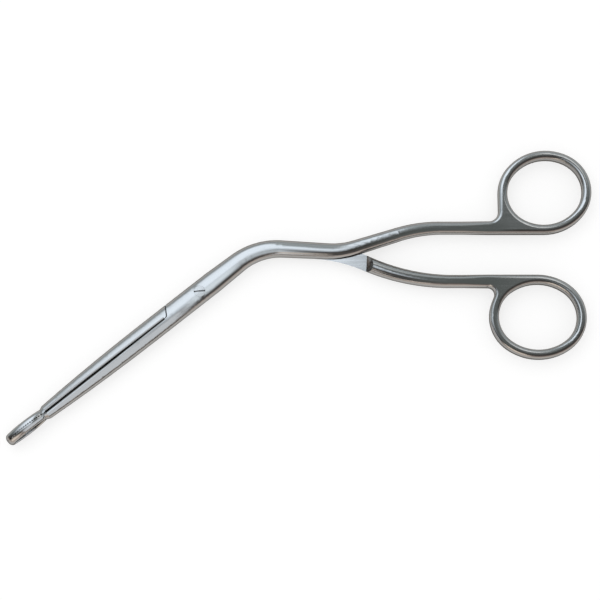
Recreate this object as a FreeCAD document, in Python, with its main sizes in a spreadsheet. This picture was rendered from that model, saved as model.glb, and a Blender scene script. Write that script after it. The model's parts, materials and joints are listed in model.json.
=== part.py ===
"""Magill forceps, 250 mm adult size, lying on its side with the opening plane level.

The instrument is two drop forgings that cross at a lap joint and a slotted pivot screw.
Each forging is one piece from its finger ring to its gripping loop.  Along the lap both
halves are half thick and lie flat on each other, so together they fill one oval bar.
Sizes are millimetres.  Inside each body the pivot is the origin and the lap faces lie
at height zero; the bodies are then moved so that the part's own origin is the middle of
the underside of its bounding box.  X runs along the handle towards the rings, Y across
the handle towards the front half's ring, and Z up through the joint.
"""
import FreeCAD
import Part
import math
import os
import Sketcher

SIZES = [
    ("jaw_angle", 38.7, "degrees from the handle to the jaws"),
    ("lap_fall", 3.0, "degrees that the lap falls towards the rings"),
    ("bend_radius", 26.0, "centreline of the bend behind the joint"),
    ("front_spread_x", 50.5, "where the front shank leaves the lap line"),
    ("rear_spread_x", 44.0, "where the rear shank leaves the lap line"),
    ("lap_line_y", 16.6, "height of the lap line where the front shank leaves it"),
    ("joint_width", 9.0, "oval bar at the pivot, across"),
    ("joint_thickness", 6.0, "oval bar at the pivot, through both halves"),
    ("joint_back", 6.0, "pivot to the end of the straight joint block"),
    ("joint_front", 16.6, "pivot to the root of the jaws"),
    ("lap_width", 6.9, "oval bar behind the bend, across"),
    ("lap_thickness", 5.8, "oval bar behind the bend, through both halves"),
    ("lap_clearance", 0.06, "between the two lap faces"),
    ("shank_diameter", 5.2, "round shank in front of the ring"),
    ("shank_reach", 104.0, "where a round shank starts to flatten into its ring"),
    ("front_rise_angle", 17.5, "degrees, front shank leaving the lap"),
    ("front_spread_radius", 30.0, "front shank, first curve"),
    ("front_return_radius", 56.0, "front shank, curve back to level"),
    ("front_shank_y", 26.0, "front shank centreline above the pivot"),
    ("rear_rise_angle", 24.0, "degrees, rear shank leaving the lap"),
    ("rear_spread_radius", 60.0, "rear shank, first curve"),
    ("rear_return_radius", 82.0, "rear shank, curve back to level"),
    ("rear_shank_y", 4.4, "rear shank centreline above the pivot"),
    ("front_ring_x", 136.8, "centre of the front ring"),
    ("front_ring_length", 29.8, "front ring opening, long way"),
    ("front_ring_height", 26.4, "front ring opening, short way"),
    ("front_ring_end", 12.3, "front ring opening, radius of its two ends"),
    ("front_ring_turn", 12.0, "degrees, long axis of the front ring"),
    ("front_web_radius", 3.9, "hollow between front shank and ring"),
    ("front_web_angle", 90.0, "degrees between front shank and the web's straight edge"),
    ("rear_ring_x", 133.0, "centre of the rear ring"),
    ("rear_ring_length", 30.7, "rear ring opening, long way"),
    ("rear_ring_height", 26.2, "rear ring opening, short way"),
    ("rear_ring_end", 12.0, "rear ring opening, radius of its two ends"),
    ("rear_ring_turn", 0.5, "degrees, long axis of the rear ring"),
    ("rear_web_radius", 2.6, "hollow between rear shank and ring"),
    ("rear_web_angle", 68.0, "degrees between rear shank and the web's straight edge"),
    ("ring_band", 3.8, "ring section in its plane"),
    ("ring_thickness", 5.0, "ring section through its plane"),
    ("ring_round", 1.8, "round on the ring's edges"),
    ("bow_stub", 0.6, "flat of the shank before the hollow starts"),
    ("front_shoulder_x", 64.5, "end of the front half's lap"),
    ("rear_shoulder_x", 65.8, "end of the rear half's lap"),
    ("shoulder_ramp", 2.8, "length of the ramp up from the lap"),
    ("notch_outer", 13.7, "pivot to the lap end at the bar's edge"),
    ("notch_inner", 16.4, "pivot to the lap end at the parting line"),
    ("notch_corner", 1.1, "round corner of the lap end"),
    ("notch_gap", 0.45, "between a lap end and the jaw root it faces"),
    ("parting_gap", 0.2, "between the jaws at their roots"),
    ("lens_gap", 0.6, "widest gap between the closed jaws"),
    ("lens_reach", 60.0, "pivot to the widest part of that gap"),
    ("neck_gap", 0.5, "between the closed jaws at their necks"),
    ("jaw_round", 0.8, "round on the inner edges of a jaw"),
    ("jaw_back_reach", 36.0, "pivot to the back jaw section"),
    ("jaw_back_width", 8.8, "both jaws together there"),
    ("jaw_back_thickness", 5.8, "jaw there"),
    ("jaw_fore_reach", 56.0, "pivot to the fore jaw section"),
    ("jaw_fore_width", 7.9, "both jaws together there"),
    ("jaw_fore_thickness", 5.3, "jaw there"),
    ("neck_to_loop", 0.5, "neck of a jaw to the start of its loop"),
    ("neck_width", 6.0, "both jaws together there"),
    ("neck_thickness", 4.5, "jaw there"),
    ("root_depth", 1.3, "start of the loop to the jaw's end inside its rim"),
    ("root_width", 4.4, "both jaws together there"),
    ("root_thickness", 4.0, "jaw there"),
    ("tip_reach", 94.8, "pivot to the tip"),
    ("loop_length", 18.2, "gripping loop, along the jaw"),
    ("loop_width", 9.0, "gripping loop, through the opening plane"),
    ("loop_depth", 2.6, "one loop, from gripping face to back"),
    ("loop_end", 3.0, "radius of the loop's two ends"),
    ("loop_rim", 1.5, "rim of the loop round its window"),
    ("loop_round", 2.2, "round on the rim's outer back edge"),
    ("window_round", 0.4, "round on the rim's inner back edge"),
    ("grip_gap", 0.1, "between the closed gripping faces"),
    ("grip_start", 0.7, "start of the loop to its gripping face"),
    ("tooth_margin", 1.2, "least length of the loop in front of the serrations and behind them"),
    ("tooth_pitch", 1.0, "serration, ridge to ridge"),
    ("tooth_depth", 0.35, "serration, groove depth"),
    ("tooth_land", 0.2, "flat crest between two grooves"),
    ("screw_diameter", 3.0, "pivot screw shank"),
    ("screw_clearance", 0.04, "running clearance in the front half, radial"),
    ("thread_clearance", 0.02, "tight thread in the rear half, radial"),
    ("head_diameter", 4.4, "pivot screw head"),
    ("head_depth", 1.1, "head's cone, from the crown down"),
    ("head_rim", 0.35, "straight rim above the cone"),
    ("slot_width", 0.6, "driver slot"),
    ("slot_depth", 0.6, "driver slot"),
    ("slot_turn", 6.0, "degrees, slot direction"),
]

doc = FreeCAD.newDocument("MagillForceps")
sheet = doc.addObject("Spreadsheet::Sheet", "Sizes")
for row, (alias, number, note) in enumerate(SIZES, start=1):
    sheet.set(f"A{row}", alias)
    sheet.set(f"B{row}", str(number))
    sheet.setAlias(f"B{row}", alias)
    sheet.set(f"C{row}", note)
doc.recompute()

UP = FreeCAD.Vector(0, 0, 1)
START = 1
END = 2
CENTRE = 3
OWN_AXIS = -1
# Millimetres that a cutting outline reaches past the joint and the jaws.
BEYOND = 40.0
CUT_PAST = 22.5
# The shoulder's cut is this many times as high and as long as the ramp that it leaves.
OVERRUN = 1.5
# Degrees of the joint's crown on each side of its top, wider than the screw's head.
CROWN_SPREAD = 50.0
# Millimetres by which the arc of an edge's round ends outside the faces beside it.
SKIM = 0.03
# Straight length beside the round corner at a jaw root, in corner radii.
LEAD = 2
BISECTIONS = 40
# Millimetres below which two places count as one.
TOUCH = 0.001


def size(alias):
    """Return the number in the sheet's cell of that name."""
    return float(getattr(sheet, alias))


def direction(degrees):
    """Return the unit vector in the opening plane at an angle from X."""
    angle = math.radians(degrees)
    return FreeCAD.Vector(math.cos(angle), math.sin(angle), 0)


def left_of(heading):
    """Return the unit vector to the left of a heading in the opening plane."""
    return FreeCAD.Vector(-heading.y, heading.x, 0)


def crossing(point, heading, other_point, other_heading):
    """Return where two lines of the opening plane meet."""
    apart = other_point - point
    turn = heading.x * other_heading.y - heading.y * other_heading.x
    along = (apart.x * other_heading.y - apart.y * other_heading.x) / turn
    return point + heading * along


def origin_plane(body, role):
    """Return one of a body's own origin planes."""
    for feature in body.Origin.OriginFeatures:
        if feature.Role == role:
            return feature
    raise ValueError(role)


def new_sketch(body, name, placement):
    """Add a sketch to a body, on its XY plane moved by a placement."""
    sketch = body.newObject("Sketcher::SketchObject", name)
    sketch.AttachmentSupport = [(origin_plane(body, "XY_Plane"), "")]
    sketch.MapMode = "FlatFace"
    sketch.AttachmentOffset = placement
    return sketch


def bind(sketch, constraint, name, formula):
    """Add a constraint and tie its value to the sheet."""
    index = sketch.addConstraint(constraint)
    sketch.renameConstraint(index, name)
    sketch.setExpression(f"Constraints.{name}", formula)


def across(point, heading):
    """Return the placement of a section: its x across the bar and its y up."""
    turn = FreeCAD.Rotation(left_of(heading), UP, heading, "ZXY")
    return FreeCAD.Placement(point, turn)


def jaw_plane():
    """Return the placement with x along the jaws towards the handle."""
    return FreeCAD.Placement(FreeCAD.Vector(), FreeCAD.Rotation(UP, size("jaw_angle")))


def jaw_side_plane():
    """Return the upright plane through the parting line, x towards the handle."""
    heading = direction(size("jaw_angle"))
    turn = FreeCAD.Rotation(heading, UP, heading.cross(UP), "ZXY")
    return FreeCAD.Placement(FreeCAD.Vector(), turn)


def oval_section(body, name, point, heading, width, thickness):
    """Draw an elliptical section, wider than thick, whose two axes are sheet names."""
    sketch = new_sketch(body, name, across(point, heading))
    half_width = FreeCAD.Vector(size(width) / 2, 0, 0)
    half_thickness = FreeCAD.Vector(0, size(thickness) / 2, 0)
    curve = sketch.addGeometry(Part.Ellipse(half_width, half_thickness, FreeCAD.Vector()), False)
    sketch.exposeInternalGeometry(curve)
    major = curve + 1
    minor = curve + 2
    sketch.addConstraint(Sketcher.Constraint("Horizontal", major))
    sketch.addConstraint(Sketcher.Constraint("Coincident", curve, CENTRE, OWN_AXIS, START))
    wide = Sketcher.Constraint("Distance", major, size(width))
    bind(sketch, wide, "width", f"Sizes.{width}")
    thick = Sketcher.Constraint("Distance", minor, size(thickness))
    bind(sketch, thick, "thickness", f"Sizes.{thickness}")
    return sketch


def round_section(body, name, point, heading, diameter):
    """Draw a round section whose diameter is a sheet name."""
    sketch = new_sketch(body, name, across(point, heading))
    circle = Part.Circle(FreeCAD.Vector(), UP, size(diameter) / 2)
    curve = sketch.addGeometry(circle, False)
    sketch.addConstraint(Sketcher.Constraint("Coincident", curve, CENTRE, OWN_AXIS, START))
    bore = Sketcher.Constraint("Diameter", curve, size(diameter))
    bind(sketch, bore, "diameter", f"Sizes.{diameter}")
    return sketch


def rounding(before, corner, after, radius):
    """Return the start, middle and end of the arc that rounds a corner."""
    back = (before - corner).normalize()
    onward = (after - corner).normalize()
    half = back.getAngle(onward) / 2
    setback = radius / math.tan(half)
    bisector = (back + onward).normalize()
    middle = corner + bisector * (radius / math.sin(half) - radius)
    return corner + back * setback, middle, corner + onward * setback


def outline(sketch, corners):
    """Draw a closed outline from corners, each a point and the radius of its round."""
    count = len(corners)
    joints = []
    for number, (point, radius) in enumerate(corners):
        if radius == 0:
            joints.append((point, None, point))
        else:
            after = corners[(number + 1) % count][0]
            joints.append(rounding(corners[number - 1][0], point, after, radius))
    for number, (entry, middle, leave) in enumerate(joints):
        if middle is not None:
            held(sketch, Part.Arc(entry, middle, leave))
        held(sketch, Part.LineSegment(leave, joints[(number + 1) % count][0]))


def held(sketch, curve):
    """Add a curve to a sketch and hold it where it is drawn."""
    index = sketch.addGeometry(curve, False)
    sketch.addConstraint(Sketcher.Constraint("Block", index))
    return index


def jaw_reach(place):
    """Return how far from the pivot a named section of the jaw lies."""
    loop_start = size("tip_reach") - size("loop_length")
    if place == "neck":
        return loop_start - size("neck_to_loop")
    if place == "root":
        return loop_start + size("root_depth")
    return size(f"{place}_reach")


class Oval:
    """An oval of four tangent arcs, with two tight ends and two flatter sides."""

    def __init__(self, centre, turn, half_long, half_short, end_radius):
        """Work out the arcs of an oval whose long axis is turned by some degrees."""
        self.centre = centre
        self.turn = turn
        self.end_radius = end_radius
        self.end_offset = half_long - end_radius
        squares = self.end_offset ** 2 + half_short ** 2 - end_radius ** 2
        self.side_radius = squares / (2 * (half_short - end_radius))
        self.side_offset = self.side_radius - half_short
        self.meet = math.degrees(math.atan2(self.side_offset, self.end_offset))

    def grown(self, band):
        """Return the oval with the same arc centres that runs a band's width outside."""
        half_long = self.end_offset + self.end_radius + band
        half_short = self.side_radius - self.side_offset + band
        return Oval(self.centre, self.turn, half_long, half_short, self.end_radius + band)

    def point(self, normal):
        """Return the point whose outward normal is at an angle from X."""
        turned = (normal - self.turn) % 360
        limits = (self.meet, 180 - self.meet, 180 + self.meet, 360 - self.meet)
        quarter = sum(turned > limit for limit in limits) % 4
        toward = direction(self.turn + 90 * quarter)
        if quarter % 2 == 0:
            return self.centre + toward * self.end_offset + direction(normal) * self.end_radius
        return self.centre - toward * self.side_offset + direction(normal) * self.side_radius

    def arcs(self, begin, finish):
        """Return the arcs between two outward normals, anticlockwise."""
        meets = [self.turn + half_turns * 180 + sign * self.meet
                 for half_turns in range(-2, 4) for sign in (-1, 1)]
        stops = [meet for meet in meets if begin + TOUCH < meet < finish - TOUCH]
        stops = [begin] + sorted(stops) + [finish]
        return [Part.Arc(self.point(low), self.point((low + high) / 2), self.point(high))
                for low, high in zip(stops, stops[1:])]

    def whole(self):
        """Return all four arcs."""
        begin = self.turn + self.meet
        return self.arcs(begin, begin + 360)


class Centreline:
    """The line that one half's bar follows, from the joint to its ring."""

    def __init__(self, side):
        """Work out the corners and curves for the half called side."""
        self.side = side
        self.jaw_heading = direction(size("jaw_angle"))
        self.lap_heading = direction(-size("lap_fall"))
        sign = 1 if side == "front" else -1
        self.rise_degrees = sign * size(f"{side}_rise_angle")
        self.rise_heading = direction(self.rise_degrees)
        self.level = direction(0)
        ahead = size("front_spread_x") - size(f"{side}_spread_x")
        height = size("lap_line_y") + ahead * math.tan(math.radians(size("lap_fall")))
        self.spread = FreeCAD.Vector(size(f"{side}_spread_x"), height, 0)
        self.start = self.jaw_heading * size("joint_back")
        corner = crossing(FreeCAD.Vector(), self.jaw_heading, self.spread, self.lap_heading)
        half_turn = math.radians(size("jaw_angle") + size("lap_fall")) / 2
        setback = size("bend_radius") * math.tan(half_turn)
        self.bend_in = corner - self.jaw_heading * setback
        self.bend_out = corner + self.lap_heading * setback
        self.spread_out = self.after_arc(
            self.spread, self.lap_heading, self.rise_heading, size(f"{side}_spread_radius"))
        radius = size(f"{side}_return_radius")
        drop = radius * (1 - math.cos(math.radians(self.rise_degrees)))
        level_y = size(f"{side}_shank_y")
        rise = (level_y - sign * drop) - self.spread_out.y
        length = rise / self.rise_heading.y
        self.return_in = self.spread_out + self.rise_heading * length
        self.return_out = self.after_arc(self.return_in, self.rise_heading, self.level, radius)
        self.thinning = FreeCAD.Vector(size("shank_reach"), level_y, 0)
        self.ring_foot = FreeCAD.Vector(size(f"{side}_ring_x"), level_y, 0)

    @staticmethod
    def after_arc(point, heading, new_heading, radius):
        """Return the end of a tangent arc from one heading to another."""
        turn = heading.x * new_heading.y - heading.y * new_heading.x
        inward = left_of(heading) * math.copysign(radius, turn)
        outward = left_of(new_heading) * math.copysign(radius, turn)
        return point + inward - outward

    def draw(self, body):
        """Draw the line as a sketch: four straights joined by three tangent arcs."""
        side = self.side
        sketch = new_sketch(body, "Centreline", FreeCAD.Placement())
        curves = [
            (self.bend_in, self.jaw_heading, self.lap_heading, self.bend_out, "bend_radius"),
            (self.spread, self.lap_heading, self.rise_heading, self.spread_out,
             f"{side}_spread_radius"),
            (self.return_in, self.rise_heading, self.level, self.return_out,
             f"{side}_return_radius"),
        ]
        begin = self.start
        before = None
        for entry, heading, new_heading, leave, radius in curves:
            line = sketch.addGeometry(Part.LineSegment(begin, entry), False)
            if before is not None:
                smooth = Sketcher.Constraint("Tangent", before[0], before[1], line, START)
                sketch.addConstraint(smooth)
            turn = heading.x * new_heading.y - heading.y * new_heading.x
            inward = left_of(heading) * math.copysign(1, turn)
            middle = self.arc_middle(entry, leave, inward, size(radius))
            arc = sketch.addGeometry(Part.Arc(entry, middle, leave), False)
            enter_end, leave_end = (START, END) if turn > 0 else (END, START)
            sketch.addConstraint(Sketcher.Constraint("Tangent", line, END, arc, enter_end))
            curved = Sketcher.Constraint("Radius", arc, size(radius))
            bind(sketch, curved, radius, f"Sizes.{radius}")
            begin = leave
            before = (arc, leave_end)
        shank = sketch.addGeometry(Part.LineSegment(begin, self.thinning), False)
        sketch.addConstraint(Sketcher.Constraint("Tangent", before[0], before[1], shank, START))
        foot = sketch.addGeometry(Part.LineSegment(self.thinning, self.ring_foot), False)
        sketch.addConstraint(Sketcher.Constraint("Coincident", shank, END, foot, START))
        self.fix(sketch, shank, foot)
        return sketch

    @staticmethod
    def arc_middle(entry, leave, inward, radius):
        """Return the point half way along an arc."""
        centre = entry + inward * radius
        bisector = (entry - centre) + (leave - centre)
        bisector.normalize()
        return centre + bisector * radius

    def fix(self, sketch, shank, foot):
        """Tie the straights' angles and places to the sheet."""
        side = self.side
        jaw, lap, rise = 0, 2, 4
        sign = 1 if side == "front" else -1
        angle = Sketcher.Constraint("Angle", jaw, math.radians(size("jaw_angle")))
        bind(sketch, angle, "jaw_angle", "Sizes.jaw_angle * 1 deg")
        angle = Sketcher.Constraint("Angle", lap, math.radians(-size("lap_fall")))
        bind(sketch, angle, "lap_fall", "-Sizes.lap_fall * 1 deg")
        angle = Sketcher.Constraint("Angle", rise, math.radians(self.rise_degrees))
        bind(sketch, angle, "rise_angle", f"{sign} * Sizes.{side}_rise_angle * 1 deg")
        sketch.addConstraint(Sketcher.Constraint("Horizontal", shank))
        sketch.addConstraint(Sketcher.Constraint("Horizontal", foot))
        sketch.addConstraint(Sketcher.Constraint("PointOnObject", OWN_AXIS, START, jaw))
        back = Sketcher.Constraint("Distance", OWN_AXIS, START, jaw, START, size("joint_back"))
        bind(sketch, back, "joint_back", "Sizes.joint_back")
        place = Sketcher.Constraint("DistanceX", OWN_AXIS, START, lap, END, self.spread.x)
        bind(sketch, place, "spread_x", f"Sizes.{side}_spread_x")
        place = Sketcher.Constraint("DistanceY", OWN_AXIS, START, lap, END, self.spread.y)
        fall = f"(Sizes.front_spread_x - Sizes.{side}_spread_x) * tan(Sizes.lap_fall * 1 deg)"
        bind(sketch, place, "spread_y", f"Sizes.lap_line_y + {fall}")
        place = Sketcher.Constraint("DistanceX", OWN_AXIS, START, foot, START, self.thinning.x)
        bind(sketch, place, "shank_reach", "Sizes.shank_reach")
        place = Sketcher.Constraint("DistanceX", OWN_AXIS, START, foot, END, self.ring_foot.x)
        bind(sketch, place, "ring_x", f"Sizes.{side}_ring_x")
        place = Sketcher.Constraint("DistanceY", OWN_AXIS, START, foot, END, self.ring_foot.y)
        bind(sketch, place, "shank_y", f"Sizes.{side}_shank_y")


def feature(body, kind, name, **settings):
    """Add a feature to a body, set it up and work it out."""
    made = body.newObject(f"PartDesign::{kind}", name)
    for setting, chosen in settings.items():
        setattr(made, setting, chosen)
    doc.recompute()
    if "Invalid" in made.State or "Error" in made.State:
        raise RuntimeError(f"{body.Name}: {made.Name} {made.State}")
    return made


def pipe(body, name, path, edges, profile, section):
    """Sweep from one section to another along some edges of a path."""
    return feature(
        body, "AdditivePipe", name, Profile=(profile, [""]), Spine=(path, edges),
        Sections=[(section, [""])], Transformation="Multisection", Mode="Binormal", Binormal=UP)


class Half:
    """One forging, from its gripping loop through the lap to its finger ring."""

    def __init__(self, side):
        """Set which side of the parting line and of the lap this half lies on."""
        self.side = side
        self.body = doc.addObject("PartDesign::Body", f"{side}_half")
        self.body.AllowCompound = True
        self.layer = 1 if side == "front" else -1
        self.own = -self.layer
        self.line = Centreline(side)
        self.path = self.line.draw(self.body)
        doc.recompute()
        self.jaw = self.line.jaw_heading
        self.outward = left_of(self.jaw) * self.own

    def build(self):
        """Make the whole forging and return its body."""
        self.loop()
        self.bow()
        self.jaws()
        self.jaw_rounds()
        self.bar()
        self.lap()
        self.parting()
        self.shoulder()
        self.bore()
        self.serration()
        return self.body

    def back_edges(self, base):
        """Return the names of a feature's edges that run level near the loop's back."""
        names = []
        for number, edge in enumerate(base.Shape.Edges, start=1):
            points = [edge.valueAt(edge.FirstParameter), edge.CenterOfMass,
                      edge.valueAt(edge.LastParameter)]
            depths = [point.dot(self.outward) for point in points]
            if min(depths) > size("loop_depth") / 2 and max(depths) - min(depths) < TOUCH:
                names.append(f"Edge{number}")
        return names

    def loop(self):
        """Make the gripping loop: a flat oval with a rounded back, and a window in it."""
        centre = FreeCAD.Vector(size("loop_length") / 2 - size("tip_reach"), 0, 0)
        half_long, half_wide = size("loop_length") / 2, size("loop_width") / 2
        rim = Oval(centre, 0.0, half_long, half_wide, size("loop_end"))
        blank = new_sketch(self.body, "LoopOutline", jaw_side_plane())
        for arc in rim.whole():
            held(blank, arc)
        pad = feature(self.body, "Pad", "Loop", Profile=blank, Length=size("loop_depth"),
                      Reversed=self.own > 0)
        pad.setExpression("Length", "Sizes.loop_depth")
        self.fillet("LoopRound", pad, self.back_edges(pad), "loop_round")
        hole = new_sketch(self.body, "WindowOutline", jaw_side_plane())
        for arc in rim.grown(-size("loop_rim")).whole():
            held(hole, arc)
        window = feature(self.body, "Pocket", "Window", Profile=hole, Type="ThroughAll",
                         Reversed=self.own < 0)
        self.fillet("WindowRound", window, self.back_edges(window), "window_round")

    def fillet(self, name, base, edges, radius):
        """Round some edges of a feature by a sheet name."""
        made = feature(self.body, "Fillet", name, Base=(base, edges), Radius=size(radius))
        made.setExpression("Radius", f"Sizes.{radius}")

    def jaws(self):
        """Loft the oval bar of the closed jaws, from the joint to the neck and into the loop."""
        front = self.jaw * -size("joint_front")
        first = oval_section(
            self.body, "JawStart", front, self.jaw, "joint_width", "joint_thickness")
        sections = [self.jaw_section(place) for place in ("jaw_back", "jaw_fore", "neck")]
        feature(self.body, "AdditiveLoft", "Jaw", Profile=(first, [""]),
                Sections=[(section, [""]) for section in sections])
        neck = self.jaw_section("neck")
        root = self.jaw_section("root")
        feature(self.body, "AdditiveLoft", "Neck", Profile=(neck, [""]), Sections=[(root, [""])])

    def jaw_section(self, place):
        """Draw the oval section of the closed jaws at a named place."""
        point = self.jaw * -jaw_reach(place)
        return oval_section(
            self.body, f"{place}_section", point, self.jaw, f"{place}_width", f"{place}_thickness")

    def bar(self):
        """Make the joint block, the bend and the shank."""
        line = self.line
        joint = oval_section(
            self.body, "JointSection", line.start, line.jaw_heading,
            "joint_width", "joint_thickness")
        block = feature(self.body, "Pad", "Joint", Profile=joint, Reversed=True,
                        Length=size("joint_back") + size("joint_front"))
        block.setExpression("Length", "Sizes.joint_back + Sizes.joint_front")
        bend = oval_section(
            self.body, "BendSection", line.start, line.jaw_heading,
            "joint_width", "joint_thickness")
        lap = oval_section(
            self.body, "LapSection", line.bend_out, line.lap_heading, "lap_width", "lap_thickness")
        pipe(self.body, "Bend", self.path, ["Edge1", "Edge2"], bend, lap)
        lap = oval_section(
            self.body, "ShankStart", line.bend_out, line.lap_heading, "lap_width", "lap_thickness")
        shank = round_section(self.body, "ShankEnd", line.return_out, line.level, "shank_diameter")
        pipe(self.body, "Shank", self.path, ["Edge3", "Edge4", "Edge5", "Edge6"], lap, shank)
        straight = round_section(
            self.body, "StraightSection", line.thinning, line.level, "shank_diameter")
        reach = line.thinning - line.return_out
        feature(self.body, "Pad", "Straight", Profile=straight, Reversed=True, Length=reach.Length)
        begin = round_section(self.body, "FootStart", line.thinning, line.level, "shank_diameter")
        end = new_sketch(self.body, "FootEnd", across(self.bow_start, line.level))
        half_width = size("shank_diameter") / 2
        half_height = size("ring_thickness") / 2
        corners = [(-half_width, -half_height), (half_width, -half_height),
                   (half_width, half_height), (-half_width, half_height)]
        outline(end, [(FreeCAD.Vector(x, y, 0), size("ring_round")) for x, y in corners])
        feature(self.body, "AdditiveLoft", "Foot", Profile=(begin, [""]), Sections=[(end, [""])])

    def ring_ovals(self):
        """Return the ring's opening and its outer edge, which touches the shank's far edge."""
        side = self.side
        half_long, half_short = size(f"{side}_ring_length") / 2, size(f"{side}_ring_height") / 2
        opening = Oval(
            self.line.ring_foot, size(f"{side}_ring_turn"),
            half_long, half_short, size(f"{side}_ring_end"))
        foot = opening.grown(size("ring_band")).point(-90 * self.layer)
        far_edge = self.line.ring_foot.y - self.layer * size("shank_diameter") / 2
        opening.centre = opening.centre + FreeCAD.Vector(0, far_edge - foot.y, 0)
        return opening, opening.grown(size("ring_band"))

    def bow(self):
        """Pad the ring with its foot and the web between them, and round it all."""
        opening, outer = self.ring_ovals()
        edge = self.layer * size("shank_diameter") / 2
        bottom = -90 * self.layer
        near = self.layer * (270 - size(f"{self.side}_web_angle"))
        tangent = outer.point(bottom)
        on_ring = outer.point(near)
        near_edge = self.line.ring_foot + FreeCAD.Vector(0, edge, 0)
        level = self.line.level
        corner = crossing(on_ring, direction(near + 90 * self.layer), near_edge, level)
        web_in, web_middle, web_out = rounding(
            on_ring, corner, corner - level, size(f"{self.side}_web_radius"))
        self.bow_start = web_out - FreeCAD.Vector(size("bow_stub"), edge, 0)
        stub_inner = self.bow_start + FreeCAD.Vector(0, edge, 0)
        stub_outer = self.bow_start - FreeCAD.Vector(0, edge, 0)
        height = size("ring_thickness")
        sketch = new_sketch(self.body, "BowOutline", FreeCAD.Placement(
            FreeCAD.Vector(0, 0, -height / 2), FreeCAD.Rotation()))
        for arc in outer.arcs(min(bottom, near), max(bottom, near)) + opening.whole():
            held(sketch, arc)
        held(sketch, Part.LineSegment(on_ring, web_in))
        held(sketch, Part.Arc(web_in, web_middle, web_out))
        held(sketch, Part.LineSegment(web_out, stub_inner))
        held(sketch, Part.LineSegment(stub_inner, stub_outer))
        held(sketch, Part.LineSegment(stub_outer, tangent))
        pad = feature(self.body, "Pad", "Bow", Profile=sketch, Length=height)
        pad.setExpression("Length", "Sizes.ring_thickness")
        names = []
        for number, seam in enumerate(pad.Shape.Edges, start=1):
            middle = seam.CenterOfMass
            flat = abs(abs(middle.z) - height / 2) < TOUCH
            at_stub = abs(middle.x - self.bow_start.x) < TOUCH
            if flat and not at_stub and middle.x > self.bow_start.x:
                names.append(f"Edge{number}")
        self.fillet("BowRound", pad, names, "ring_round")

    def notch_point(self, across_bar, shift):
        """Return a point of the lap end's line, in the jaw plane."""
        slope = (size("notch_inner") - size("notch_outer")) / (size("joint_width") / 2)
        reach = size("notch_inner") - slope * abs(across_bar) + shift
        return FreeCAD.Vector(-reach, across_bar, 0)

    def lap(self):
        """Cut away the other half's layer, from the rounded jaw root to the shoulder."""
        plane = jaw_plane()
        gap = size("notch_gap") / 2
        inner = self.notch_point(0, gap)
        inner.y = self.own * size("parting_gap") / 2
        along = inner - FreeCAD.Vector(LEAD * size("notch_corner"), 0, 0)
        other = FreeCAD.Vector(along.x, -self.own * CUT_PAST, 0)
        outer = self.notch_point(self.own * CUT_PAST, gap)
        shoulder, heading = self.shoulder_place()
        side_step = left_of(heading) * CUT_PAST
        left_far = FreeCAD.Vector(0, BEYOND, 0)
        right_far = FreeCAD.Vector(BEYOND, -BEYOND / 4, 0)
        far = [left_far, shoulder + side_step, shoulder - side_step, right_far]
        own_side, other_side = [plane.multVec(outer)], [plane.multVec(along), plane.multVec(other)]
        if self.own > 0:
            sharp = own_side + far + other_side[::-1]
        else:
            sharp = other_side + far + own_side
        height = self.layer * size("lap_clearance") / 2
        sketch = new_sketch(self.body, "LapOutline", FreeCAD.Placement(
            FreeCAD.Vector(0, 0, height), FreeCAD.Rotation()))
        root = (plane.multVec(inner), size("notch_corner"))
        outline(sketch, [root] + [(corner, 0) for corner in sharp])
        feature(self.body, "Pocket", "Lap", Profile=sketch, Length=BEYOND, Reversed=self.layer < 0)

    def shoulder_place(self):
        """Return where on the centreline the lap ends, and the direction that its end faces."""
        line = self.line
        along = (size(f"{self.side}_shoulder_x") - line.spread_out.x) / line.rise_heading.x
        return line.spread_out + line.rise_heading * along, line.lap_heading

    def parting_root(self):
        """Return where the parting face meets the lap end, and where its straight start ends."""
        root = self.notch_point(0, -size("notch_gap") / 2)
        root.y = self.own * size("parting_gap") / 2
        return root, root - FreeCAD.Vector(LEAD * size("notch_corner"), 0, 0)

    def bowed_face(self):
        """Return the line of the bowed parting face, in the jaw plane."""
        fore = FreeCAD.Vector(-size("lens_reach"), self.own * size("lens_gap") / 2, 0)
        neck = FreeCAD.Vector(-jaw_reach("neck"), self.own * size("neck_gap") / 2, 0)
        return Part.Arc(self.parting_root()[1], fore, neck), neck

    def parting(self):
        """Cut away the other jaw, along the lap end and the bowed parting face."""
        beyond = size("tip_reach") + size("joint_width")
        root, lead = self.parting_root()
        outer = self.notch_point(-self.own * CUT_PAST, -size("notch_gap") / 2)
        bowed, neck = self.bowed_face()
        loop_start = size("tip_reach") - size("loop_length")
        face = self.own * size("grip_gap") / 2
        grip = FreeCAD.Vector(-loop_start - size("grip_start"), face, 0)
        end = FreeCAD.Vector(-beyond, face, 0)
        corner = FreeCAD.Vector(-beyond, -self.own * CUT_PAST, 0)
        entry, middle, leave = rounding(outer, root, lead, size("notch_corner"))
        sketch = new_sketch(self.body, "PartingOutline", FreeCAD.Placement(
            FreeCAD.Vector(0, 0, -BEYOND), jaw_plane().Rotation))
        held(sketch, Part.Arc(entry, middle, leave))
        held(sketch, Part.LineSegment(leave, lead))
        held(sketch, bowed)
        held(sketch, Part.LineSegment(neck, grip))
        held(sketch, Part.LineSegment(grip, end))
        held(sketch, Part.LineSegment(end, corner))
        held(sketch, Part.LineSegment(corner, outer))
        held(sketch, Part.LineSegment(outer, entry))
        feature(self.body, "Pocket", "Parting", Profile=sketch, Length=2 * BEYOND, Reversed=True)

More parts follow.
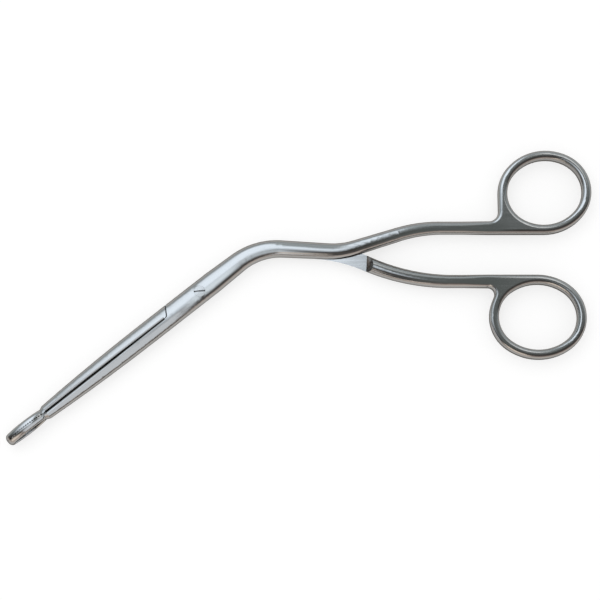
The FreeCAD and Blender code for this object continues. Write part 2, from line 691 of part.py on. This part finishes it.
    def jaw_rounds(self):
        """Round the jaw's two inner edges, from the lap end to the neck."""
        start = size("notch_inner") + size("notch_corner")
        places = [(start, "joint"), (size("jaw_back_reach"), "jaw_back"),
                  (size("jaw_fore_reach"), "jaw_fore"), (jaw_reach("neck"), "neck")]
        for name, upward in (("Upper", 1), ("Lower", -1)):
            cuts = [self.edge_section(f"{name}_{place}", reach, place, upward)
                    for reach, place in places]
            feature(self.body, "SubtractiveLoft", f"{name}Round", Profile=(cuts[0], [""]),
                    Sections=[(cut, [""]) for cut in cuts[1:]])

    def edge_section(self, name, reach, place, upward):
        """Draw what a round takes off one inner edge: outside an arc that meets wall and crown."""
        bowed = self.bowed_face()[0]
        wall = abs(bowed.value(bowed.parameter(FreeCAD.Vector(-reach, 0, 0))).y)
        radius = size("jaw_round")
        half_width, half_height = size(f"{place}_width") / 2, size(f"{place}_thickness") / 2
        near, far = 0.0, math.pi / 2
        for _ in range(BISECTIONS):
            turn = (near + far) / 2
            touch = FreeCAD.Vector(half_width * math.sin(turn), half_height * math.cos(turn), 0)
            normal = FreeCAD.Vector(half_height * math.sin(turn), half_width * math.cos(turn), 0)
            normal.normalize()
            centre = touch - normal * (radius - SKIM)
            if centre.x < wall + radius - SKIM:
                near = turn
            else:
                far = turn
        inward = FreeCAD.Vector(-1, 0, 0)
        begin = centre + inward * radius
        middle = centre + (inward + normal).normalize() * radius
        finish = centre + normal * radius
        above = finish + normal * radius
        corners = [begin, middle, finish, above, FreeCAD.Vector(-radius, above.y, 0),
                   FreeCAD.Vector(-radius, centre.y, 0)]
        placed = [FreeCAD.Vector(corner.x * self.own, corner.y * upward, 0) for corner in corners]
        sketch = new_sketch(self.body, name, across(self.jaw * -reach, self.jaw))
        held(sketch, Part.Arc(*placed[:3]))
        for first, second in zip(placed[2:], placed[3:] + placed[:1]):
            held(sketch, Part.LineSegment(first, second))
        return sketch

    def shoulder(self):
        """Slope the step from the lap face up to the full shank."""
        place, heading = self.shoulder_place()
        wide = size("joint_width")
        base = place - left_of(heading) * wide
        turn = FreeCAD.Rotation(heading, UP, heading.cross(UP), "ZXY")
        sketch = new_sketch(self.body, "RampOutline", FreeCAD.Placement(base, turn))
        high = -self.layer * OVERRUN * size("lap_thickness") / 2
        corners = [
            FreeCAD.Vector(0, self.layer * size("lap_clearance") / 2, 0),
            FreeCAD.Vector(0, high, 0),
            FreeCAD.Vector(OVERRUN * size("shoulder_ramp"), high, 0),
        ]
        outline(sketch, [(corner, 0) for corner in corners])
        feature(self.body, "Pocket", "Ramp", Profile=sketch, Length=2 * wide)

    def bore(self):
        """Drill the joint for the pivot screw, countersunk in the front half."""
        if self.side == "front":
            profile = screw_profile(size("screw_clearance"))
        else:
            radius = size("screw_diameter") / 2 + size("thread_clearance")
            high = size("joint_thickness")
            profile = [(0, -high), (radius, -high), (radius, high), (0, high)]
        sketch = new_sketch(self.body, "BoreOutline", FreeCAD.Placement(
            FreeCAD.Vector(), FreeCAD.Rotation(FreeCAD.Vector(1, 0, 0), 90)))
        outline(sketch, [(FreeCAD.Vector(radius, high, 0), 0) for radius, high in profile])
        feature(self.body, "Groove", "Bore", Profile=sketch, ReferenceAxis=(sketch, ["V_Axis"]),
                Angle=360.0)

    def serration(self):
        """Cut the row of grooves across the gripping face."""
        pitch = size("tooth_pitch")
        depth = size("tooth_depth")
        half = (pitch - size("tooth_land")) / 2
        count = int((size("loop_length") - 2 * size("tooth_margin")) / pitch) + 1
        first = size("tip_reach") - (size("loop_length") + (count - 1) * pitch) / 2
        face = self.own * size("grip_gap") / 2
        above = face - self.own * depth
        sketch = new_sketch(self.body, "GrooveOutline", FreeCAD.Placement(
            FreeCAD.Vector(0, 0, -size("loop_width")), jaw_plane().Rotation))
        corners = [
            FreeCAD.Vector(-first, face + self.own * depth, 0),
            FreeCAD.Vector(-first + 2 * half, above, 0),
            FreeCAD.Vector(-first - 2 * half, above, 0),
        ]
        outline(sketch, [(corner, 0) for corner in corners])
        groove = feature(self.body, "Pocket", "Groove", Profile=sketch,
                         Length=2 * size("loop_width"), Reversed=True)
        groove.setExpression("Length", "2 * Sizes.loop_width")
        row = feature(self.body, "LinearPattern", "Serration", Originals=[groove],
                      Direction=(sketch, ["H_Axis"]), Length=(count - 1) * pitch, Occurrences=count,
                      Reversed=True)
        row.setExpression("Length", f"{count - 1} * Sizes.tooth_pitch")
        self.body.Tip = self.body.Group[-1]
        doc.recompute()


def screw_profile(clearance):
    """Return the screw's half outline as radius and height, grown by a clearance."""
    high = size("joint_thickness")
    shank = size("screw_diameter") / 2 + clearance
    head = size("head_diameter") / 2 + clearance
    crown = size("joint_thickness") / 2
    cone_top = crown - size("head_rim")
    cone_foot = crown - size("head_depth")
    return [(0, -high), (shank, -high), (shank, cone_foot),
            (head, cone_top), (head, high), (0, high)]


def pivot_screw():
    """Turn the slotted pivot screw and grind both ends flush with the crowned joint."""
    body = doc.addObject("PartDesign::Body", "pivot_screw")
    turned = new_sketch(body, "TurnedOutline", FreeCAD.Placement(
        FreeCAD.Vector(), FreeCAD.Rotation(FreeCAD.Vector(1, 0, 0), 90)))
    outline(turned, [(FreeCAD.Vector(radius, high, 0), 0) for radius, high in screw_profile(0.0)])
    feature(body, "Revolution", "Turned", Profile=turned,
            ReferenceAxis=(turned, ["V_Axis"]), Angle=360.0)
    jaw = direction(size("jaw_angle"))
    reach = size("head_diameter")
    crown = new_sketch(body, "CrownOutline", across(jaw * reach, jaw))
    half_width = size("joint_width") / 2
    half_height = size("joint_thickness") / 2
    side_end = FreeCAD.Vector(half_width, 0, 0)
    top = FreeCAD.Vector(0, half_height, 0)
    curve = Part.Ellipse(side_end, top, FreeCAD.Vector())
    for middle in (math.pi / 2, 3 * math.pi / 2):
        spread = math.radians(CROWN_SPREAD)
        high = math.copysign(2 * half_height, math.sin(middle))
        begin = curve.value(middle - spread)
        finish = curve.value(middle + spread)
        over_begin = FreeCAD.Vector(begin.x, high, 0)
        over_finish = FreeCAD.Vector(finish.x, high, 0)
        held(crown, Part.ArcOfEllipse(curve, middle - spread, middle + spread))
        held(crown, Part.LineSegment(finish, over_finish))
        held(crown, Part.LineSegment(over_finish, over_begin))
        held(crown, Part.LineSegment(over_begin, begin))
    feature(body, "Pocket", "Ground", Profile=crown, Length=2 * reach)
    slot = new_sketch(body, "SlotOutline", FreeCAD.Placement(
        FreeCAD.Vector(0, 0, 2 * half_height), FreeCAD.Rotation(UP, size("slot_turn"))))
    half = size("slot_width") / 2
    long_half = size("head_diameter")
    corners = [(-long_half, -half), (long_half, -half), (long_half, half), (-long_half, half)]
    outline(slot, [(FreeCAD.Vector(x, y, 0), 0) for x, y in corners])
    cut = feature(body, "Pocket", "Slot", Profile=slot, Length=half_height + size("slot_depth"))
    cut.setExpression("Length", "Sizes.joint_thickness / 2 + Sizes.slot_depth")
    return body


bodies = [Half("front").build(), Half("rear").build(), pivot_screw()]
doc.recompute()
for item in doc.Objects:
    if "Invalid" in item.State or "Error" in item.State:
        raise RuntimeError(f"{item.Name}: {item.State}")
box = FreeCAD.BoundBox()
for body in bodies:
    if body.Shape.isNull() or not body.Shape.isValid():
        raise RuntimeError(f"{body.Label}: bad shape")
    box.add(body.Shape.optimalBoundingBox())
shift = FreeCAD.Vector(-box.Center.x, -box.Center.y, -box.ZMin)
os.makedirs("parts", exist_ok=True)
for body in bodies:
    body.Placement = FreeCAD.Placement(shift, FreeCAD.Rotation())
    doc.recompute()
    body.Shape.exportStep(f"parts/{body.Label}.step")
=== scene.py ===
"""Dress the forceps for the picture: steel finishes, studio and camera.

The instrument lies on its side on a pale floor.  Its two forged halves and the pivot
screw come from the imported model; this file gives them their ground and peened steel,
and builds the floor, the soft lights and the camera.  Lengths are metres unless a name
says mm.
"""
import json
import logging
import math
from dataclasses import dataclass
from enum import Enum
from typing import Any

import bpy
from mathutils import Matrix, Vector


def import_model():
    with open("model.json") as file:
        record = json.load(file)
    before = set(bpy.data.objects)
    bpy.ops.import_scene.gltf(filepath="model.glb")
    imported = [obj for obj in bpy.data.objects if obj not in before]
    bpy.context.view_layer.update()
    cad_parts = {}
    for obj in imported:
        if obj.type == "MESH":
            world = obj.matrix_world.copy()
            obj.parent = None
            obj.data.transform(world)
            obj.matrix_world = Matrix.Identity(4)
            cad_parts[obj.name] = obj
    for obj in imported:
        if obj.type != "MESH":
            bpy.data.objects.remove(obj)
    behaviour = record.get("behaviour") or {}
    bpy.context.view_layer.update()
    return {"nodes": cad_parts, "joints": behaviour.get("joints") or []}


LOG = logging.getLogger("forceps")
MM = 0.001
WHITE = (1.0, 1.0, 1.0, 1.0)

# A Mix node's inputs and outputs repeat their names, so they go by number: the share,
# the two numbers or the two colours that it mixes, and the two results.
SHARE, NUMBER_A, NUMBER_B, COLOUR_A, COLOUR_B = 0, 2, 3, 6, 7
NUMBER_OUT, COLOUR_OUT = 0, 2

# Noise seldom leaves this part of its range from 0 to 1.
NOISE_LOW, NOISE_HIGH = 0.3, 0.7

Socket = bpy.types.NodeSocket
Tree = bpy.types.NodeTree


def linear(hex_colour: str) -> tuple[float, float, float, float]:
    """Turn an sRGB hex colour into linear light.

    Args:
        hex_colour: six hex digits, with or without a leading hash.

    Returns:
        Red, green, blue and an alpha of one.
    """
    digits = hex_colour.lstrip("#")
    channels = []
    for start in (0, 2, 4):
        value = int(digits[start:start + 2], 16) / 255
        channels.append(value / 12.92 if value <= 0.04045 else ((value + 0.055) / 1.055) ** 2.4)
    return channels[0], channels[1], channels[2], 1.0


def add_node(
    tree: Tree,
    kind: str,
    settings: dict[str | int, Any] | None = None,
    links: dict[str | int, Socket] | None = None,
) -> bpy.types.Node:
    """Add a shader node, set it up and link its inputs.

    Args:
        tree: the node tree that gets the node.
        kind: the node's type without its Shader prefix, such as "TexNoise".
        settings: values by property name, input name or input number.
        links: output sockets to link, by input name or input number.

    Returns:
        The new node.
    """
    node = tree.nodes.new(f"ShaderNode{kind}")
    for name, value in (settings or {}).items():
        if isinstance(name, int) or name in node.inputs:
            node.inputs[name].default_value = value
        else:
            setattr(node, name, value)
    for name, socket in (links or {}).items():
        tree.links.new(socket, node.inputs[name])
    return node


def new_material(name: str) -> tuple[bpy.types.Material, Tree]:
    """Start a material with an empty node tree.

    Args:
        name: the material's name.

    Returns:
        The material and its tree.
    """
    material = bpy.data.materials.new(name)
    material.use_nodes = True
    material.node_tree.nodes.clear()
    return material, material.node_tree


def add_object(name: str, data: bpy.types.ID) -> bpy.types.Object:
    """Add an object to the scene.

    Args:
        name: the object's name.
        data: its mesh, light or camera.

    Returns:
        The new object.
    """
    added = bpy.data.objects.new(name, data)
    bpy.context.scene.collection.objects.link(added)
    return added


def add_sheet(
    name: str, half_width: float, half_depth: float, face: bpy.types.Material
) -> bpy.types.Object:
    """Add a level rectangle, centred on its own origin.

    Args:
        name: the object's name.
        half_width: half of its size along X.
        half_depth: half of its size along Y.
        face: the material of its one face.

    Returns:
        The new object.
    """
    mesh = bpy.data.meshes.new(name)
    mesh.from_pydata(
        [(-half_width, -half_depth, 0.0), (half_width, -half_depth, 0.0),
         (half_width, half_depth, 0.0), (-half_width, half_depth, 0.0)],
        [], [(0, 1, 2, 3)])
    mesh.materials.append(face)
    return add_object(name, mesh)


class Lay(Enum):
    """The direction that a part was ground along, as a turn about Z in degrees."""

    JAWS = 38.7
    HANDLE = 0.0


@dataclass(frozen=True)
class GroundSteel:
    """Martensitic stainless steel, drop forged, belt ground lengthwise and satin polished.

    The belt leaves fine scratches along each bar, so that light bands run crisp along
    it with soft edges across it, and the metal is a neutral grey.  In the corners
    between two faces the steel is rougher, and its colour is darkened there as painted shade.
    """

    name: str
    colour: str = "#B8B6B3"
    edge_tint: str = "#7E7B78"
    roughness: float = 0.15
    # A 120 grit belt cuts scratches about 0.1 mm wide; drawn eight times as wide to show.
    scratch_width_mm: float = 0.80
    scratch_length_mm: float = 30.0
    # They are about 0.002 mm deep; drawn eight times as deep, like their width.
    relief_depth_mm: float = 0.016
    # Shares of the roughness in the smoothest and the most scratched places.
    scratch_spread: tuple[float, float] = (0.7, 1.35)
    # Wide soft clouds, where the hand leaned more or less on the belt.
    cloud_size_mm: float = 9.0
    cloud_spread: tuple[float, float] = (0.85, 1.2)
    # X of the bend, where the scratches turn from the jaws' lay to the handle's.
    bend_front: float = -0.030
    bend_back: float = -0.012
    # Painted shade: the dark colour that the steel takes in the corners between faces.
    corner_shade_colour: str = "#24211F"
    corner_roughness: float = 0.6
    corner_reach_mm: float = 0.9
    # How open a place is where the corners' painted shade and roughness start to thin and where
    # they end, from 0 to 1.
    corner_open: tuple[float, float] = (0.25, 0.75)
    corner_samples: int = 8

    def scratches(self, tree: Tree, place: Socket, lay: Lay) -> Socket:
        """Draw belt scratches along one direction.

        Args:
            tree: the material's node tree.
            place: the position on the instrument, in metres.
            lay: the direction that the scratches follow.

        Returns:
            The scratches' height, from 0 to 1.
        """
        turned = add_node(
            tree, "Mapping", {"Rotation": (0.0, 0.0, -math.radians(lay.value))},
            {"Vector": place})
        across = 1 / (self.scratch_width_mm * MM)
        along = 1 / (self.scratch_length_mm * MM)
        stretched = add_node(
            tree, "Mapping", {"Scale": (along, across, across)},
            {"Vector": turned.outputs["Vector"]})
        noise = add_node(
            tree, "TexNoise", {"Scale": 1.0, "Detail": 3.0, "Roughness": 0.6},
            {"Vector": stretched.outputs["Vector"]})
        return noise.outputs["Fac"]

    def grain(self, tree: Tree, place: Socket) -> Socket:
        """Join the scratches of the jaws to those of the handles inside the bend.

        Args:
            tree: the material's node tree.
            place: the position on the instrument, in metres.

        Returns:
            The scratches' height, from 0 to 1.
        """
        along = add_node(tree, "SeparateXYZ", {}, {"Vector": place})
        behind_bend = add_node(
            tree, "MapRange",
            {"From Min": self.bend_front, "From Max": self.bend_back,
             "interpolation_type": "SMOOTHSTEP"},
            {"Value": along.outputs["X"]})
        both = add_node(
            tree, "Mix", {"data_type": "FLOAT"},
            {SHARE: behind_bend.outputs["Result"],
             NUMBER_A: self.scratches(tree, place, Lay.JAWS),
             NUMBER_B: self.scratches(tree, place, Lay.HANDLE)})
        return both.outputs[NUMBER_OUT]

    def openness(self, tree: Tree) -> Socket:
        """Tell open faces from the narrow corners, which get painted shade and more roughness.

        Args:
            tree: the material's node tree.

        Returns:
            0 deep in a corner and 1 on open faces.
        """
        # Ambient occlusion finds the corners that get the painted shade and the extra roughness.
        near = add_node(
            tree, "AmbientOcclusion",
            {"Distance": self.corner_reach_mm * MM, "samples": self.corner_samples})
        dull, clear = self.corner_open
        openness = add_node(
            tree, "MapRange",
            {"From Min": dull, "From Max": clear, "interpolation_type": "SMOOTHSTEP"},
            {"Value": near.outputs["AO"]})
        return openness.outputs["Result"]

    def satin(self, tree: Tree, place: Socket, grain: Socket) -> Socket:
        """Vary the roughness with the scratches and in wide clouds.

        Args:
            tree: the material's node tree.
            place: the position on the instrument, in metres.
            grain: the scratches' height, from 0 to 1.

        Returns:
            The roughness of open faces.
        """
        cloud = add_node(
            tree, "TexNoise", {"Scale": 1 / (self.cloud_size_mm * MM), "Detail": 2.0},
            {"Vector": place})
        low, high = self.scratch_spread
        scratched = add_node(
            tree, "MapRange",
            {"From Min": NOISE_LOW, "From Max": NOISE_HIGH,
             "To Min": self.roughness * low, "To Max": self.roughness * high},
            {"Value": grain})
        low, high = self.cloud_spread
        clouded = add_node(
            tree, "MapRange",
            {"From Min": NOISE_LOW, "From Max": NOISE_HIGH, "To Min": low, "To Max": high},
            {"Value": cloud.outputs["Fac"]})
        rough = add_node(
            tree, "Math", {"operation": "MULTIPLY"},
            {0: scratched.outputs["Result"], 1: clouded.outputs["Result"]})
        return rough.outputs["Value"]

    def make(self) -> bpy.types.Material:
        """Build the material.

        Returns:
            The finished material.
        """
        material, tree = new_material(self.name)
        place = add_node(tree, "TexCoord").outputs["Object"]
        grain = self.grain(tree, place)
        openness = self.openness(tree)
        rough = add_node(
            tree, "Mix", {"data_type": "FLOAT", NUMBER_A: self.corner_roughness},
            {SHARE: openness, NUMBER_B: self.satin(tree, place, grain)})
        # Painted shade: the steel's colour is darkened in the corners between faces.
        colour = add_node(
            tree, "Mix",
            {"data_type": "RGBA",
             COLOUR_A: linear(self.corner_shade_colour), COLOUR_B: linear(self.colour)},
            {SHARE: openness})
        bump = add_node(
            tree, "Bump", {"Strength": 1.0, "Distance": self.relief_depth_mm * MM},
            {"Height": grain})
        shader = add_node(
            tree, "BsdfPrincipled",
            {"Metallic": 1.0, "Specular Tint": linear(self.edge_tint)},
            {"Base Color": colour.outputs[COLOUR_OUT], "Roughness": rough.outputs[NUMBER_OUT],
             "Normal": bump.outputs["Normal"]})
        add_node(tree, "OutputMaterial", {}, {"Surface": shader.outputs["BSDF"]})
        return material


@dataclass(frozen=True)
class PeenedSteel(GroundSteel):
    """Stainless screw steel, peened into its seat and ground flush with the joint.

    The hammer leaves a pale, finely mottled face that shows as a light round patch.
    """

    roughness: float = 0.30
    relief_depth_mm: float = 0.012
    # A small peening hammer leaves dimples about half a millimetre across.
    dimple_mm: float = 0.5

    def grain(self, tree: Tree, place: Socket) -> Socket:
        """Draw the hammer's dimples in place of belt scratches.

        Args:
            tree: the material's node tree.
            place: the position on the instrument, in metres.

        Returns:
            The dimples' height, from 0 to 1.
        """
        dimples = add_node(
            tree, "TexNoise",
            {"Scale": 1 / (self.dimple_mm * MM), "Detail": 2.0, "Roughness": 0.5},
            {"Vector": place})
        return dimples.outputs["Fac"]


@dataclass
class SteelPiece:
    """One piece of the instrument and the finish that it gets."""

    node: bpy.types.Object
    finish: GroundSteel

    def dress(self) -> None:
        """Give the piece its steel."""
        self.node.material_slots[0].material = self.finish.make()


class ForgedHalf(SteelPiece):
    """One half of the forceps, ring to gripping loop in one forging."""


class PivotScrew(SteelPiece):
    """The slotted screw that is ground flush with the joint."""


def hide_from_all_but_steel(piece: bpy.types.Object) -> None:
    """Keep a light panel out of the picture, of the shadows and of the floor's light.

    Args:
        piece: the panel.
    """
    piece.visible_camera = False
    piece.visible_diffuse = False
    piece.visible_shadow = False


@dataclass(frozen=True)
class Panel:
    """A level studio panel with soft edges that only reflections see.

    The fades are the widths over which the panel thins out at its left, right, low and
    high edge.
    """

    name: str
    centre: tuple[float, float, float]
    width: float
    depth: float
    colour: str
    strength: float
    fades: tuple[float, float, float, float]
    turn_degrees: float = 0.0

    def build(self) -> None:
        """Build the panel and hang it in its place."""
        panel = add_sheet(self.name, self.width / 2, self.depth / 2, self.face())
        panel.location = self.centre
        panel.rotation_euler = (0.0, 0.0, math.radians(self.turn_degrees))
        hide_from_all_but_steel(panel)

    def cover(self, tree: Tree) -> Socket:
        """Fade the panel out towards its four edges.

        Args:
            tree: the face's node tree.

        Returns:
            0 at the edges and 1 inside the fades.
        """
        half_width, half_depth = self.width / 2, self.depth / 2
        left, right, low, high = self.fades
        place = add_node(
            tree, "SeparateXYZ", {}, {"Vector": add_node(tree, "TexCoord").outputs["Object"]})
        ramps = []
        for axis, outside, inside in (
            ("X", -half_width, -half_width + left), ("X", half_width, half_width - right),
            ("Y", -half_depth, -half_depth + low), ("Y", half_depth, half_depth - high),
        ):
            ramp = add_node(
                tree, "MapRange",
                {"From Min": outside, "From Max": inside, "interpolation_type": "SMOOTHSTEP"},
                {"Value": place.outputs[axis]})
            ramps.append(ramp.outputs["Result"])
        cover = ramps[0]
        for ramp in ramps[1:]:
            both = add_node(tree, "Math", {"operation": "MULTIPLY"}, {0: cover, 1: ramp})
            cover = both.outputs["Value"]
        return cover

    def face(self) -> bpy.types.Material:
        """Make the glowing face, an even cloth that lets light through where it fades.

        Returns:
            The face's material.
        """
        material, tree = new_material(f"{self.name} cloth")
        glow = add_node(
            tree, "Emission", {"Color": linear(self.colour), "Strength": self.strength})
        nothing = add_node(tree, "BsdfTransparent")
        both = add_node(
            tree, "MixShader", {},
            {0: self.cover(tree), 1: nothing.outputs["BSDF"], 2: glow.outputs["Emission"]})
        add_node(tree, "OutputMaterial", {}, {"Surface": both.outputs["Shader"]})
        return material


PANELS = (
    # The main window: the wide cool light along the jaws, the joint and the shank.
    Panel("Softbox", (-0.540, 0.54, 0.60), 1.060, 1.72, "#DFEBF8", 2.10,
          (0.85, 0.020, 0.42, 0.75), 9.0),
    # A weaker one behind the handles: the bright line round the rings.
    Panel("Ring softbox", (0.26, 0.40, 0.50), 0.28, 0.46, "#EEF2F6", 1.45,
          (0.06, 0.08, 0.10, 0.14)),
    # A warm card in front of the jaws: the tan line along their lower edge and the shank's.
    Panel("Warm reflector", (-0.38, -0.87, 0.60), 0.84, 1.14, "#CBC2B9", 2.10,
          (0.10, 0.08, 0.20, 0.40)),
    # A grey card over the handles, which mirror less light than the shank.
    Panel("Handle flag", (0.060, 0.010, 0.05), 0.062, 0.11, "#4E5353", 2.10,
          (0.034, 0.010, 0.02, 0.03)),
    # Pale cards beside the jaws and the joint: the light on the side towards the camera.
    Panel("Jaw reflector", (-0.0503, -0.0659, 0.045), 0.105, 0.084, "#BBC1C8", 2.00,
          (0.01, 0.010, 0.012, 0.012), Lay.JAWS.value),
    Panel("Joint reflector", (-0.0164, -0.0067, 0.045), 0.045, 0.050, "#CDD8E2", 2.10,
          (0.01, 0.02, 0.032, 0.006), Lay.JAWS.value),
    # Dark cards next to them: the dark line between that light and the tan line.
    Panel("Jaw flag", (-0.022, -0.105, 0.020), 0.105, 0.110, "#3E4142", 2.10,
          (0.01, 0.010, 0.03, 0.010), Lay.JAWS.value),
    Panel("Joint flag", (0.027, -0.042, 0.045), 0.070, 0.050, "#3A3C3D", 2.10,
          (0.01, 0.02, 0.012, 0.012), Lay.JAWS.value),
)


@dataclass(frozen=True)
class Canopy:
    """A paper canopy over the table, graded from warm in front to cool behind.

    Each tone is an angle from straight up, positive towards the back, and the colour of
    the paper there.
    """

    radius: float = 1.6
    half_length: float = 2.4
    steps: int = 48
    strength: float = 2.1
    tones: tuple[tuple[float, str], ...] = (
        (-90, "#ADA59F"), (-74, "#9C948F"), (-60, "#746C69"), (-44, "#4A4543"),
        (-30, "#343230"), (-14, "#343433"), (0, "#4B4E4E"), (20, "#5C6163"),
        (42, "#757D80"), (62, "#8D9498"), (90, "#7C8185"),
    )

    def build(self) -> None:
        """Build the canopy's half tube and its two ends."""
        points = []
        for x in (-self.half_length, self.half_length):
            for step in range(self.steps + 1):
                angle = math.pi * (step / self.steps - 0.5)
                points.append((x, self.radius * math.sin(angle), self.radius * math.cos(angle)))
        row = self.steps + 1
        faces = [(step, step + 1, row + step + 1, row + step) for step in range(self.steps)]
        faces += [tuple(range(row)), tuple(range(row, 2 * row))]
        mesh = bpy.data.meshes.new("Canopy")
        mesh.from_pydata(points, [], faces)
        mesh.materials.append(self.paper())
        hide_from_all_but_steel(add_object("Canopy", mesh))

    def paper(self) -> bpy.types.Material:
        """Make the graded paper.

        Returns:
            The paper's material.
        """
        material, tree = new_material("Graded canopy paper")
        place = add_node(
            tree, "SeparateXYZ", {}, {"Vector": add_node(tree, "TexCoord").outputs["Object"]})
        angle = add_node(
            tree, "Math", {"operation": "ARCTAN2"}, {0: place.outputs["Y"], 1: place.outputs["Z"]})
        share = add_node(
            tree, "MapRange", {"From Min": -math.pi / 2, "From Max": math.pi / 2},
            {"Value": angle.outputs["Value"]})
        ramp = add_node(tree, "ValToRGB", {}, {"Fac": share.outputs["Result"]})
        stops = ramp.color_ramp.elements
        for number, (degrees, colour) in enumerate(self.tones):
            if number >= len(stops):
                stops.new(1.0)
            stops[number].position = degrees / 180 + 0.5
            stops[number].color = linear(colour)
        glow = add_node(
            tree, "Emission", {"Strength": self.strength}, {"Color": ramp.outputs["Color"]})
        add_node(tree, "OutputMaterial", {}, {"Surface": glow.outputs["Emission"]})
        return material


@dataclass(frozen=True)
class Studio:
    """The pale floor, the white surround, the soft lamp and what the steel mirrors."""

    floor_half: float = 3.0
    floor_colour: str = "#ABABAB"
    # Light that the floor adds for the camera, and for the steel that mirrors it.
    floor_lift: float = 0.66
    mirrored_lift: float = 0.36
    # Even light from all round, besides the lamp's.
    ambient: float = 0.80
    lamp_power: float = 3.0
    lamp_size: tuple[float, float] = (1.4, 1.0)
    lamp_place: tuple[float, float, float] = (-0.5, 0.5, 1.3)
    panels: tuple[Panel, ...] = PANELS

    def build(self) -> None:
        """Build the floor, the surround, the lamp, the canopy and the panels."""
        add_sheet("Floor", self.floor_half, self.floor_half, self.paper())
        self.surround()
        self.lamp()
        Canopy().build()
        for panel in self.panels:
            panel.build()

    def paper(self) -> bpy.types.Material:
        """Make the floor's matt paper, lifted to white but still taking the shadow.

        Returns:
            The paper's material.
        """
        material, tree = new_material("White paper sweep")
        paper = add_node(tree, "BsdfDiffuse", {"Color": linear(self.floor_colour)})
        path = add_node(tree, "LightPath")
        mirrored = add_node(
            tree, "Math", {"operation": "MAXIMUM"},
            {0: path.outputs["Is Glossy Ray"], 1: path.outputs["Is Transmission Ray"]})
        dim = add_node(
            tree, "Math", {"operation": "MULTIPLY", 1: self.mirrored_lift},
            {0: mirrored.outputs["Value"]})
        lift = add_node(
            tree, "Math", {"operation": "MULTIPLY_ADD", 1: self.floor_lift},
            {0: path.outputs["Is Camera Ray"], 2: dim.outputs["Value"]})
        glow = add_node(tree, "Emission", {"Color": WHITE}, {"Strength": lift.outputs["Value"]})
        both = add_node(
            tree, "AddShader", {}, {0: paper.outputs["BSDF"], 1: glow.outputs["Emission"]})
        add_node(tree, "OutputMaterial", {}, {"Surface": both.outputs["Shader"]})
        return material

    @staticmethod
    def seen_rays(tree: Tree) -> Socket:
        """Tell the rays that see the white background from those that light the object.

        Args:
            tree: the node tree that gets the test.

        Returns:
            A socket that is 1 for camera, glossy and transmission rays.
        """
        path = add_node(tree, "LightPath")
        first = add_node(
            tree, "Math", {"operation": "MAXIMUM"},
            {0: path.outputs["Is Camera Ray"], 1: path.outputs["Is Glossy Ray"]})
        seen = add_node(
            tree, "Math", {"operation": "MAXIMUM"},
            {0: first.outputs["Value"], 1: path.outputs["Is Transmission Ray"]})
        return seen.outputs["Value"]

    def surround(self) -> None:
        """Make the world white where it is seen and plain grey where it lights."""
        world = bpy.data.worlds.new("White surround")
        bpy.context.scene.world = world
        world.use_nodes = True
        tree = world.node_tree
        tree.nodes.clear()
        strength = add_node(
            tree, "MapRange", {"To Min": self.ambient, "To Max": 1.0},
            {"Value": self.seen_rays(tree)})
        glow = add_node(
            tree, "Background", {"Color": WHITE}, {"Strength": strength.outputs["Result"]})
        add_node(tree, "OutputWorld", {}, {"Surface": glow.outputs["Background"]})

    def lamp(self) -> None:
        """Hang one large soft lamp above, left and behind, that steel doesn't mirror."""
        data = bpy.data.lights.new("Soft lamp", "AREA")
        data.shape = "RECTANGLE"
        data.size, data.size_y = self.lamp_size
        data.energy = self.lamp_power
        lamp = add_object("Soft lamp", data)
        lamp.location = self.lamp_place
        lamp.rotation_euler = (-lamp.location).to_track_quat("-Z", "Y").to_euler()
        lamp.visible_glossy = False


@dataclass(frozen=True)
class Camera:
    """The camera of the picture: nearly overhead, leaning towards the lower ring.

    It aims at a point beside the pivot screw, given as an offset in the floor's plane.
    """

    distance: float = 0.750
    tilt_degrees: float = 11.0
    frame_width: float = 0.2364
    aim_offset: tuple[float, float] = (0.03947, -0.00302)
    aim_height: float = 0.0045
    sensor_mm: float = 36.0

    def build(self, pivot: Vector) -> None:
        """Place the camera and make it the scene's own.

        Args:
            pivot: the middle of the pivot screw.
        """
        data = bpy.data.cameras.new("Camera")
        data.sensor_width = self.sensor_mm
        data.lens = self.sensor_mm * self.distance / self.frame_width
        camera = add_object("Camera", data)
        tilt = math.radians(self.tilt_degrees)
        right, up = self.aim_offset
        aim = Vector((pivot.x + right, pivot.y + up, self.aim_height))
        stand = aim + Vector((0.0, -math.sin(tilt), math.cos(tilt))) * self.distance
        camera.matrix_world = Matrix.Translation(stand) @ Matrix.Rotation(tilt, 4, "X")
        bpy.context.scene.camera = camera


def main() -> None:
    """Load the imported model, dress it, and build the studio and the camera."""
    logging.basicConfig(level=logging.INFO, format="%(name)s: %(message)s")
    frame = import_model()
    bpy.context.scene.view_settings.view_transform = "Standard"
    nodes = frame["nodes"]
    steel = GroundSteel("Belt ground satin stainless steel")
    for name in ("front_half", "rear_half"):
        ForgedHalf(nodes[name], steel).dress()
        LOG.info("dressed %s", name)
    PivotScrew(nodes["pivot_screw"], PeenedSteel("Peened stainless screw steel")).dress()
    LOG.info("dressed pivot_screw")
    Studio().build()
    LOG.info("built the studio")
    Camera().build(Vector(frame["joints"][0]["pos_m"]))
    LOG.info("placed the camera")


if __name__ == "__main__":
    main()
